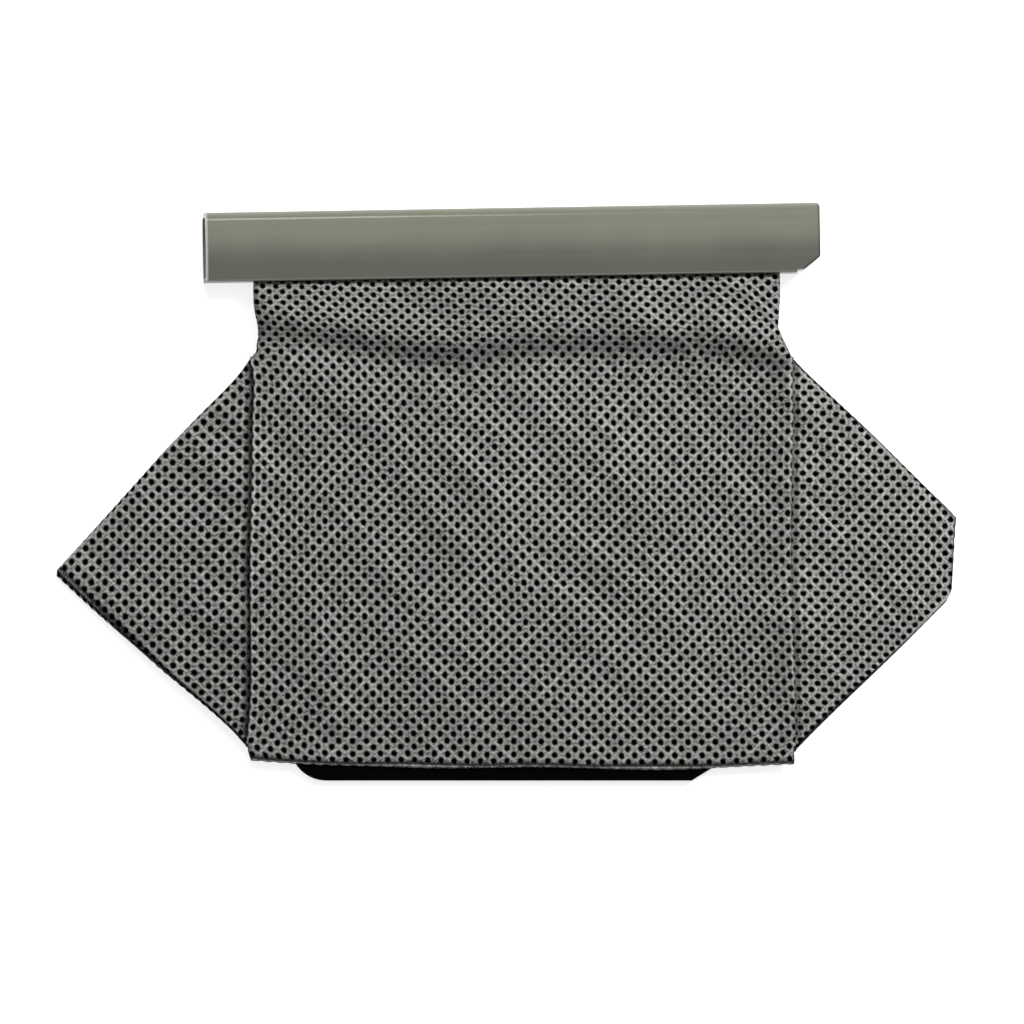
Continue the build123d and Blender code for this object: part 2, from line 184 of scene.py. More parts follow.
class PlasticSettings(bpy.types.PropertyGroup):
    """Colours of the plastic and rubber pieces."""

    # Painted shade: the clip's colour greyed towards its open edge.
    clip_shade: bpy.props.FloatVectorProperty(
        name="Clip shade", description="Colour of the slide clip towards its open edge",
        default=linear("#5a5a51"), subtype="COLOR", size=3, min=0, max=1)
    clip_colour: bpy.props.FloatVectorProperty(
        name="Clip", description="Colour of the slide clip", default=linear("#6c6e5b"),
        subtype="COLOR", size=3, min=0, max=1)
    # Colour of the painted highlights along the clip's edges.
    clip_highlight_colour: bpy.props.FloatVectorProperty(
        name="Worn clip", description="Colour of the slide clip's pale edges", default=linear("#b4b5aa"),
        subtype="COLOR", size=3, min=0, max=1)
    # Also the colour of the painted shade at the clip's ends.
    collar_colour: bpy.props.FloatVectorProperty(
        name="Collar", description="Colour of the collar and its clamp ring", default=linear("#030303"),
        subtype="COLOR", size=3, min=0, max=1)
    seal_colour: bpy.props.FloatVectorProperty(
        name="Seal", description="Colour of the inlet seal", default=linear("#0e0e0e"),
        subtype="COLOR", size=3, min=0, max=1)
    strip_colour: bpy.props.FloatVectorProperty(
        name="Strips", description="Colour of the mouth strips", default=linear("#bdbdb2"),
        subtype="COLOR", size=3, min=0, max=1)


class StageSettings(bpy.types.PropertyGroup):
    """Camera, light and floor."""

    frame_width: bpy.props.FloatProperty(
        name="Frame width", description="Width of the picture at the bag", default=0.26624,
        unit="LENGTH")
    lens: bpy.props.FloatProperty(
        name="Lens", description="Focal length of the camera", default=200, unit="CAMERA")
    key_power: bpy.props.FloatProperty(
        name="Key light", description="Power of the key light", default=16.4, unit="POWER")
    panel_power: bpy.props.FloatProperty(
        name="Panel light", description="Power of the soft panel overhead", default=3, unit="POWER")
    strip_power: bpy.props.FloatProperty(
        name="Strip light", description="Power of the strip that lights the clip's upper edge", default=3.0,
        unit="POWER")
    sky: bpy.props.FloatProperty(
        name="Sky", description="Strength of the light from all round", default=0.16, min=0)


def tidy_selection():
    """Leaves edit mode and deselects everything."""
    if bpy.context.object and bpy.context.object.mode != "OBJECT":
        bpy.ops.object.mode_set(mode="OBJECT")
    bpy.ops.object.select_all(action="DESELECT")


def add_node(tree, kind, inputs=None, out=None, **settings):
    """Adds a node with its settings and gives an output, the first in use if none is named.

    An input is a value or the socket that feeds it.
    """
    node = tree.nodes.new(kind)
    for name, value in settings.items():
        setattr(node, name, value)
    for key, value in (inputs or {}).items():
        if isinstance(value, bpy.types.NodeSocket):
            tree.links.new(value, node.inputs[key])
        else:
            node.inputs[key].default_value = value
    if out:
        return node.outputs[out]
    return next((socket for socket in node.outputs if socket.enabled), None)


def new_material(name):
    """Empty material and its tree."""
    material = bpy.data.materials.new(name)
    material.use_nodes = True
    material.node_tree.nodes.clear()
    return material, material.node_tree


def seen_by_eye(tree):
    """1 on a ray from the camera, a gloss or a clear piece, and 0 on a ray of light."""
    path = add_node(tree, "ShaderNodeLightPath").node.outputs
    seen = path["Is Camera Ray"]
    for kind in ("Is Glossy Ray", "Is Transmission Ray"):
        seen = add_node(tree, "ShaderNodeMath", {0: seen, 1: path[kind]}, operation="ADD", use_clamp=True)
    return seen


def dress(node_name, material):
    """Gives a fixed solid its material."""
    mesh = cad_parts[node_name].data
    mesh.materials.clear()
    mesh.materials.append(material)


def smooth(low, high, x):
    """Rises from 0 at low to 1 at high with level ends."""
    t = np.clip((x - low) / (high - low), 0, 1)
    return t * t * (3 - 2 * t)


def bell(x, middle, width):
    """Rounded bump of height 1."""
    return np.exp(-((x - middle) / width) ** 2)


def through(x, *points):
    """Smooth curve through given points."""
    at, value = np.array(points, float).T
    slope = np.gradient(value, at)
    i = np.clip(np.searchsorted(at, x) - 1, 0, len(at) - 2)
    run = at[i + 1] - at[i]
    t = np.clip((x - at[i]) / run, 0, 1)
    start = (2 * t ** 3 - 3 * t ** 2 + 1) * value[i] + (t ** 3 - 2 * t ** 2 + t) * run * slope[i]
    end = (3 * t ** 2 - 2 * t ** 3) * value[i + 1] + (t ** 3 - t ** 2) * run * slope[i + 1]
    return start + end


def tuck_curve():
    """How far out and how far down the cloth has come along the tuck, each as a share of the tuck."""
    share = np.linspace(0, 1, 201)
    turn = smooth(0, 0.4, share) * (1 - smooth(0.6, 1, share)) * (math.pi / 2 + TUCK_LEAN)
    out = np.cumsum(np.cos(turn)) / len(share)
    down = np.cumsum(np.sin(turn))
    return share, out, down / down[-1]


TUCK_SHARE, TUCK_OUT, TUCK_DOWN = tuck_curve()
TUCK_WIDTH = WALL * TUCK_OUT[-1]


def outline():
    """Edges of the folded bag seen from the front, as pairs of points, from the neck down each side."""
    left = [(LEFT_NECK, CLIP_Y), (LEFT_NECK, LEFT_NECK_Y), (-PANEL_HALF, WING_HEAD_Y), LEFT_TIP,
            (-PANEL_HALF, FOOT_Y), (-PANEL_HALF, SEAM_Y)]
    right = [(PANEL_HALF, SEAM_Y), (PANEL_HALF, FOOT_Y), RIGHT_LOW, RIGHT_HIGH,
             (PANEL_HALF, WING_HEAD_Y), (RIGHT_NECK, RIGHT_NECK_Y), (RIGHT_NECK, CLIP_Y)]
    points = left + right
    return list(zip(points, points[1:]))


def edge_distance(x, y):
    """Distance of points from the nearest outline edge."""
    nearest = np.full(len(x), 1e9)
    for (ax, ay), (bx, by) in outline():
        dx, dy = bx - ax, by - ay
        t = np.clip(((x - ax) * dx + (y - ay) * dy) / (dx * dx + dy * dy), 0, 1)
        nearest = np.minimum(nearest, np.hypot(x - ax - t * dx, y - ay - t * dy))
    return nearest


def crease_line(x):
    """The y of the crease below the mouth, which steps along the rows of dots."""
    steps = 0.7 * np.sin(x * 1.15) * np.sin(x / 7 + 1)
    return steps + through(x, *CREASE_LINE)


def soft_folds(x, y):
    """Slack diagonal folds, about 1 high, as trains of waves that fade in and out."""
    total = np.zeros(len(x))
    for length, degrees, phase, height in FOLD_TRAINS:
        along = x * math.cos(math.radians(degrees)) + y * math.sin(math.radians(degrees))
        across = y * math.cos(math.radians(degrees)) - x * math.sin(math.radians(degrees))
        fade = 0.55 + 0.45 * np.sin(across * 2 * math.pi / (length * 2.7) + phase * 1.7)
        total += height * fade * np.sin(along * 2 * math.pi / length + phase)
    return total


def panel_top(x, y, cloth):
    """Height of the front panel and the neck."""
    base = through(y, *PANEL_SIDE)
    crown = through(y, *PANEL_CROWN)
    z = BACK_Z + base + crown * (1 - (x / PANEL_HALF) ** 2)
    free = smooth(FOOT_Y, FOOT_Y + 8, y) * (1 - smooth(CLIP_Y - 7, CLIP_Y - 1, y))
    above = y - crease_line(x)
    depth = cloth.crease_depth / MM * through(x, *CREASE_SHARE)
    z += depth * (0.47 * bell(above, 4.5, 4.2) - 0.63 * bell(above, -2.3, 4.1))
    z += cloth.fold_height / MM * free * soft_folds(x, y)
    z += free * (0.4 * bell(x, -PANEL_HALF, 3.0) + 0.7 * bell(x, PANEL_HALF, 7.0))
    neck_wrinkles = bell(x, PINCH_X, 9) * bell(y, PINCH_Y, 4.5)
    z += 0.42 * neck_wrinkles * np.sin((ACROSS_X * x + ACROSS_Y * y) * 2 * math.pi / 2.4)
    z -= 0.7 * bell((x + 52) * 0.5 + (y - 44) * 0.87, 0, 1.6) * bell(x, -52, 7)
    z -= 0.4 * bell(y, SEAM_Y + 1.3, 0.6)
    return z


def wing_top(x, y, cloth):
    """Height of the wings' upper layer, from under the panel's folds out to the tips."""
    left = np.clip((-x - PANEL_HALF) / (-LEFT_TIP[0] - PANEL_HALF), 0, 1)
    right = np.clip((x - PANEL_HALF) / (RIGHT_HIGH[0] - PANEL_HALF), 0, 1)
    fold = panel_top(np.where(x < 0, -PANEL_HALF, PANEL_HALF), y, cloth)
    drop = TUCK_DROP * (1 + 0.3 * np.sin(y / 5.3) + 0.2 * np.sin(y / 2.9 + 1))
    root = np.maximum(fold - drop, WING_BACK_Z + 0.8)
    z_left = WING_TIP_Z + (root - WING_TIP_Z) * (1 - left) ** 1.3
    z_right = WING_TIP_Z + (root - WING_TIP_Z) * (1 - right) ** 1.2
    z_right += 0.7 * np.sin(right * math.pi) * bell(y, 12, 26)
    wrinkles = np.sin((ACROSS_X * x + ACROSS_Y * y) * 2 * math.pi / 4.7)
    z_right += 0.14 * bell(x, 79, 8) * bell(y, 8, 26) * wrinkles
    z_right -= 0.5 * bell((x - 106) * 0.77 + (y - 13.5) * 0.64, 0, 1.2) * bell(x, 107, 4)
    groove = 0.7 * bell(np.abs(x), PANEL_HALF, 1.0)
    return np.where(x < 0, z_left, z_right) + 0.1 * soft_folds(x, y) - groove


def back_height(x, y):
    """Height of the back sheet, which lies on the collar and under the wings."""
    out = np.where(x < 0, (-x - PANEL_HALF) / (-LEFT_TIP[0] - PANEL_HALF),
                   (x - PANEL_HALF) / (RIGHT_HIGH[0] - PANEL_HALF))
    panel = BACK_Z + CLOTH_LIFT + (MOUTH_Z - LIP - BACK_Z - CLOTH_LIFT) * smooth(HEAD_Y, CLIP_Y, y)
    wing = WING_BACK_Z + (WING_TIP_BACK_Z - WING_BACK_Z) * np.clip(out, 0, 1)
    return np.where(out > 0, wing, panel)


def front_height(x, y, cloth):
    """Height of the front sheet as a plain surface, without the tuck beside the panel."""
    share = smooth(0, 1.5, np.abs(x) - PANEL_HALF)
    held = np.clip(x, -PANEL_HALF, PANEL_HALF)
    return panel_top(held, y, cloth) * (1 - share) + wing_top(x, y, cloth) * share


def seam_rise(x):
    """How far the bottom edge has drawn up, least in the middle."""
    return through(x, *SEAM_DRAWN)


def hem_path():
    """A hem's section from the clip's lower edge up round its strip and down again: length, y and z."""
    bend = HEM_THICK / 2
    middle = SLIT + bend
    points = [(0, LIP), (HEM_FOOT - 0.4, LIP), (HEM_FOOT + 0.3, LIP + 0.4),
              (HEM_FOOT + 0.9, middle + bend - 0.4), (HEM_FOOT + 1.6, middle + bend)]
    for degrees in range(90, -91, -15):
        turn = math.radians(degrees)
        points.append((HEM_HEAD - bend + bend * math.cos(turn), middle + bend * math.sin(turn)))
    points.append((HEM_FOOT, SLIT))
    y, z = np.array(points).T
    length = np.concatenate([[0], np.cumsum(np.hypot(np.diff(y), np.diff(z)))])
    return length, y, z


HEM_LENGTH, HEM_Y, HEM_Z = hem_path()


def fold_inset(x, y):
    """How far the panel's folds have drawn in."""
    return np.where(x < 0, through(y, *LEFT_INSET), through(y, *RIGHT_INSET))


def slipped(x, y):
    """How far points lie inside a wing's upper layer, which has slipped back, and by how much it has."""
    inside = np.full(len(x), PANEL_HALF)
    slip = np.ones(len(x))
    for side, start, end, slips in SLIPS:
        run = np.subtract(end, start)
        length = np.hypot(*run)
        wing = side * x > PANEL_HALF
        along = ((x - start[0]) * run[0] + (y - start[1]) * run[1]) / length ** 2
        slip = np.where(wing, through(along, *slips), slip)
        inside = np.where(wing, ((y - start[1]) * run[0] - (x - start[0]) * run[1]) / length - slip, inside)
    return inside, slip


def painted_light_marks(u, x, y):
    """Painted light and shade on the front sheet, from 1 for painted light down to -1 for painted shade:
    highlights on the folds and edges, shade in the tucks, the crease and under the slipped layers.
    """
    out = np.abs(u) - PANEL_HALF
    left = u < 0
    wings = smooth(FOOT_Y - 1, FOOT_Y, y) * (1 - smooth(WING_HEAD_Y, WING_HEAD_Y + 1, y))
    # Painted shade in the tuck under each fold, and a painted highlight along the fold's crest.
    tuck = smooth(0.0, 0.3, out) * (1 - smooth(WALL + 0.2, WALL + 3.2, out)) * np.where(left, 0.75, 0.48)
    painted_light = bell(out, -0.3, 0.5) * np.where(left, 0.35, 0.2)
    # Painted shade on the lower layer where a wing's upper layer has slipped back from its edge, lifted in a
    # band across it.
    inside, slip = slipped(x, y)
    under = 1 - smooth(-0.3, 0.1, inside)
    bare = 0.38 * smooth(0.6, 1.5, slip) * (1 - np.cos(2 * math.pi * np.clip(-inside / slip / 0.7, 0, 1)))
    # Painted highlights along the slipped upper layers' edges and the left wing's edges; painted shade along
    # the right wing's edges.
    rim = bell(edge_distance(x, y), 0.2, 0.4) * (out > WALL) * np.where(left, 0.3, -0.8)
    edge = 0.8 * bell(inside, 0.45, 0.4) + rim
    held = np.clip(x, -PANEL_HALF, PANEL_HALF)
    panel = 1 - smooth(-1.0, 0.0, out)
    # Painted shade in the crease below the mouth.
    crease = 0.36 * bell(y - crease_line(held), -0.8, 3.4)
    # Darker towards the panel's head, and painted shade over 9 mm beside its right fold.
    head = 0.1 * smooth(HEAD_Y - 32, HEAD_Y - 8, y) + 0.12 * smooth(PANEL_HALF - 9, PANEL_HALF, x)
    # Painted light on the rise above the bottom seam.
    foot = 0.17 * (1 - smooth(FOOT_Y, FOOT_Y + 18, y))
    # Painted light and shade in patches.
    patches = sum(depth * bell(np.hypot(x - at_x, y - at_y), 0, 11) for at_x, at_y, depth in PATCHES)
    marks = wings * (painted_light - tuck) + panel * (foot + patches - crease - head)
    return np.clip(marks + edge * (1 - under) - under * (1 - bare), -1, 1)


def lay_sheet(u, v, front, cloth):
    """Places of the flat cut's points on the folded bag, in millimetres, and their marks of painted light and
    shade.
    """
    wall = WALL if front else 0.0
    out = np.abs(u) - PANEL_HALF
    side = np.sign(u)
    share = np.clip(out / WALL, 0, 1) if front else np.zeros(len(u))
    tuck_out = np.interp(share, TUCK_SHARE, TUCK_OUT) * WALL if front else 0.0
    x = side * (np.minimum(np.abs(u), PANEL_HALF) + tuck_out + np.maximum(out - wall, 0))
    held = np.clip(x, -PANEL_HALF, PANEL_HALF)
    y = np.minimum(v, CLIP_Y)
    under = back_height(x, y)
    over = front_height(x, y, cloth)
    if front:
        root = side * (PANEL_HALF + TUCK_WIDTH)
        top = panel_top(held, y, cloth)
        bottom = wing_top(np.where(share < 1, root, x), y, cloth)
        face = top + (bottom - top) * np.interp(share, TUCK_SHARE, TUCK_DOWN)
        face = face + (under + 0.4 - face) * (1 - smooth(-0.2, 0.3, slipped(x, y)[0]))
        marks = painted_light_marks(u, x, y)
    else:
        face = under
        marks = np.zeros(len(u))
    middle = (under + over) / 2
    reach = 1.3 + 2.6 * smooth(HEAD_Y - 5, HEAD_Y + 3, y) * (np.abs(x) < PANEL_HALF + TUCK_WIDTH)
    reach -= 0.5 * (y < FOOT_Y)
    inward = np.clip(edge_distance(x, y) / reach, 0, 1)
    closing = np.sqrt(1 - (1 - inward) ** 2)
    z = middle + (face - middle) * closing
    drawn = smooth(40, PANEL_HALF, np.abs(x)) * (1 - smooth(PANEL_HALF + 1, PANEL_HALF + 25, np.abs(x)))
    x = x - side * fold_inset(x, y) * drawn
    waist = np.where(x < 0, 1.2, 0.4) * bell(y, 66.5, 5) * smooth(50, 72, np.abs(x))
    x = x - np.sign(x) * waist
    y = y + math.sin(MOUTH_TURN) * (x - MOUTH_X) * smooth(HEAD_Y, CLIP_Y, y)
    y = y + seam_rise(x) * (1 - smooth(SEAM_Y, SEAM_Y + 45, v))
    y = y + 0.2 * np.sin(x / 9.0 + 0.8) * bell(v, SEAM_Y, 3)
    hem = v > CLIP_Y
    run = v[hem] - CLIP_Y
    hem_y = np.interp(run, HEM_LENGTH, HEM_Y)
    hem_z = np.interp(run, HEM_LENGTH, HEM_Z) * (1 if front else -1)
    lip_share = closing[hem] + (1 - closing[hem]) * smooth(HEM_FOOT - 0.5, HEM_FOOT + 1.2, run)
    across = u[hem] - MOUTH_X
    x[hem] = MOUTH_X + across * math.cos(MOUTH_TURN) - hem_y * math.sin(MOUTH_TURN)
    y[hem] = CLIP_Y + across * math.sin(MOUTH_TURN) + hem_y * math.cos(MOUTH_TURN)
    z[hem] = MOUTH_Z + hem_z * lip_share
    return np.stack([x, y, z], 1), marks


def lattice_place(u, v, front):
    """Where the dots' lattice has each point: the cloth was drawn out of square as the bag was folded."""
    across = u + 0.16 * np.sin(u / 7.3 + v / 11.9) + 0.1 * np.sin(v / 4.6 - u / 13.0)
    along = v + 0.16 * np.sin(v / 8.7 - u / 9.7 + 1.3) + 0.1 * np.sin(u / 4.9 + v / 21.0)
    if not front:
        return np.stack([across, along], 1)
    held = np.clip(u, -PANEL_HALF, PANEL_HALF)
    left = np.maximum(-u - PANEL_HALF, 0)
    right = np.maximum(u - PANEL_HALF, 0)
    drawn = smooth(SEAM_Y, 10, v)
    along += drawn * (0.03 * held - 0.000176 * held ** 2) - 0.014 * left + 0.047 * right
    along += 0.2 * (np.clip(v, 62, CLIP_Y) - 62) + 0.05 * np.maximum(held - 20, 0) * smooth(45, 75, v)
    across += 0.04 * left + 0.05 * right + 0.0009 * right ** 2
    across += 0.045 * (held + 60) / 130 * (np.minimum(v, 25) - 25) * (1 - smooth(0, WALL, right))
    across -= 0.06 * smooth(-20, 20, held) * (np.clip(v, 54, 64) - 54)
    across += 0.07 * (np.clip(v, 64, CLIP_Y) - 64)
    # The wrinkles beside the right neck squeeze the rows together.
    from_pinch = ACROSS_X * (u - PINCH_X) + ACROSS_Y * (v - PINCH_Y)
    squeeze = 1.4 * np.tanh(from_pinch / 3) * bell(u, PINCH_X, 11) * bell(v, PINCH_Y, 8)
    return np.stack([across + ACROSS_X * squeeze, along + ACROSS_Y * squeeze], 1)


def choose_faces(mesh, chosen):
    """Selects faces of the flat cut by their middles."""
    centres = np.empty(len(mesh.polygons) * 3)
    mesh.polygons.foreach_get("center", centres)
    u, v = centres.reshape(-1, 3).T[:2] / MM
    for items in (mesh.vertices, mesh.edges):
        items.foreach_set("select", np.zeros(len(items), bool))
    mesh.polygons.foreach_set("select", chosen(u, v))


def cut_along(obj, chosen, point, normal, drop=True):
    """Cuts the chosen faces along a line of the flat cut. Those beyond it, along the normal, are dropped."""
    choose_faces(obj.data, chosen)
    bpy.ops.object.mode_set(mode="EDIT")
    bpy.ops.mesh.bisect(plane_co=(point[0] * MM, point[1] * MM, 0), plane_no=(*normal, 0), threshold=1e-7)
    bpy.ops.object.mode_set(mode="OBJECT")
    if drop:
        choose_faces(obj.data, lambda u, v: chosen(u, v) & (
            (u - point[0]) * normal[0] + (v - point[1]) * normal[1] > 0))
        bpy.ops.object.mode_set(mode="EDIT")
        bpy.ops.mesh.delete(type="FACE")
        bpy.ops.object.mode_set(mode="OBJECT")


def trim_edge(obj, chosen, start, end, rounds=EDGE_ROUNDS):
    """Trims the chosen faces along an edge that has the bag on its left, with rows for its rounding."""
    run = np.subtract(end, start)
    normal = np.array([run[1], -run[0]]) / np.hypot(*run)
    cut_along(obj, chosen, start, normal)
    for inset in rounds:
        cut_along(obj, chosen, start - normal * inset, normal, drop=False)


def flat_sheet(name, wall):
    """Flat cut of one sheet: a grid with a cell line on each fold, trimmed to the outline."""
    left = math.ceil((-LEFT_TIP[0] + wall) / COLUMN)
    right = math.ceil((RIGHT_HIGH[0] + wall) / COLUMN)
    width = (left + right) * COLUMN
    length = ROWS * ROW
    tidy_selection()
    bpy.ops.mesh.primitive_grid_add(x_subdivisions=left + right, y_subdivisions=ROWS, size=1)
    obj = bpy.context.object
    obj.name = name
    bpy.ops.object.mode_set(mode="EDIT")
    bpy.ops.mesh.select_mode(type="FACE")
    bpy.ops.mesh.select_all(action="SELECT")
    bpy.ops.transform.resize(value=(width * MM, length * MM, 1), center_override=(0, 0, 0))
    bpy.ops.transform.translate(value=((right - left) * COLUMN / 2 * MM, (SEAM_Y + length / 2) * MM, 0))
    bpy.ops.object.mode_set(mode="OBJECT")
    shift = wall - TUCK_WIDTH if wall else 0.0
    root = PANEL_HALF + wall
    left_tip = np.array(LEFT_TIP) - (shift, 0)
    right_low = np.array(RIGHT_LOW) + (shift, 0)
    right_high = np.array(RIGHT_HIGH) + (shift, 0)
    left_head, left_foot = (-PANEL_HALF - shift, WING_HEAD_Y), (-PANEL_HALF - shift, FOOT_Y)
    right_head, right_foot = (PANEL_HALF + shift, WING_HEAD_Y), (PANEL_HALF + shift, FOOT_Y)

    def left_wing(u, v):
        return u < -root

    def right_wing(u, v):
        return u > root

    def beside(side):
        return lambda u, v: (side * u > PANEL_HALF) & (side * u < root)

    def neck(low, high):
        return lambda u, v: (v > low) & (v < high) & (np.abs(u) < PANEL_HALF)

    trim_edge(obj, left_wing, left_head, left_tip)
    trim_edge(obj, left_wing, left_tip, left_foot)
    cut_along(obj, left_wing, left_tip + (TIP_BLUNT, 0), (-1, 0))
    trim_edge(obj, right_wing, right_foot, right_low)
    trim_edge(obj, right_wing, right_low, right_high)
    trim_edge(obj, right_wing, right_high, right_head)
    inset = CORNER_CUT * CORNER_SHARE
    cut_along(obj, right_wing, right_low + (-inset, inset), CORNER_NORMAL)
    for side in (-1, 1) if wall else ():
        cut_along(obj, beside(side), (0, WING_HEAD_Y), (0, 1))
        cut_along(obj, beside(side), (0, FOOT_Y), (0, -1))
        for half in range(1, 2 * WALL_CELLS, 2):
            cut_along(obj, beside(side), (side * (PANEL_HALF + half * COLUMN / 2), 0), (side, 0), drop=False)
    top = SEAM_Y + length
    trim_edge(obj, neck(LEFT_NECK_Y, top), (LEFT_NECK, CLIP_Y), (LEFT_NECK, LEFT_NECK_Y), NECK_ROUNDS)
    trim_edge(obj, neck(WING_HEAD_Y, LEFT_NECK_Y), (LEFT_NECK, LEFT_NECK_Y), (-PANEL_HALF, WING_HEAD_Y), ())
    trim_edge(obj, neck(RIGHT_NECK_Y, top), (RIGHT_NECK, RIGHT_NECK_Y), (RIGHT_NECK, CLIP_Y), NECK_ROUNDS)
    trim_edge(obj, neck(WING_HEAD_Y, RIGHT_NECK_Y), (PANEL_HALF, WING_HEAD_Y), (RIGHT_NECK, RIGHT_NECK_Y), ())
    for inset in EDGE_ROUNDS:
        cut_along(obj, lambda u, v: np.abs(u) < PANEL_HALF, (0, SEAM_Y + inset), (0, -1), drop=False)
    return obj, (width, length)


def store_lattice(mesh, lattice):
    """Keeps the lattice's places as the sheet's UV map, from 0 to 1. Gives the map's corner and size."""
    low = lattice.min(0) - PITCH
    size = lattice.max(0) + PITCH - low
    layer = mesh.uv_layers[0]
    layer.name = "OFBake"
    corners = np.empty(len(mesh.loops), int)
    mesh.loops.foreach_get("vertex_index", corners)
    layer.uv.foreach_set("vector", ((lattice - low) / size)[corners].ravel())
    return low, size


def mesh_points(mesh, what):
    """Vertex places or normals as rows."""
    values = np.empty(len(mesh.vertices) * 3)
    mesh.vertices.foreach_get(what, values)
    return values.reshape(-1, 3)


def set_points(mesh, points):
    """Moves the vertices to given places."""
    mesh.vertices.foreach_set("co", points.ravel())
    mesh.update()


def dot_distance(lattice):
    """Distance of the lattice's places from the nearest dot's middle, in millimetres."""
    cell = (lattice - (0, SEAM_Y)) / PITCH
    near = [np.hypot(*((cell + half - np.round(cell + half)) * PITCH).T) for half in (0.0, 0.5)]
    return np.minimum(*near)


def flat_area(mesh):
    """Area of a sheet while it is still flat."""
    areas = np.empty(len(mesh.polygons))
    mesh.polygons.foreach_get("area", areas)
    return float(areas.sum())


def make_sheet(name, front, cloth):
    """One embossed sheet: cut flat, laid on the folded bag, then dimpled at its dots."""
    obj, size = flat_sheet(name, WALL if front else 0.0)
    mesh = obj.data
    area = flat_area(mesh)
    u, v = mesh_points(mesh, "co").T[:2] / MM
    places, marks = lay_sheet(u, v, front, cloth)
    set_points(mesh, places * MM)
    mesh.attributes.new("painted_light_marks", "FLOAT", "POINT").data.foreach_set("value", marks)
    if not front:
        mesh.flip_normals()
    lattice = lattice_place(u, v, front)
    corner, spread = store_lattice(mesh, lattice)
    radius = cloth.dot_radius / MM
    dent = 1 - smooth(0.4 * radius, 1.7 * radius, dot_distance(lattice))
    points = mesh_points(mesh, "co")
    normals = mesh_points(mesh, "normal")
    set_points(mesh, points - normals * (dent * cloth.dot_depth)[:, None])
    bpy.ops.object.shade_smooth()
    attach(obj, "bag")
    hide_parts("bag_cloth")
    mesh.materials.append(spunbond_nonwoven(cloth, corner - (0, SEAM_Y), spread))
    return obj


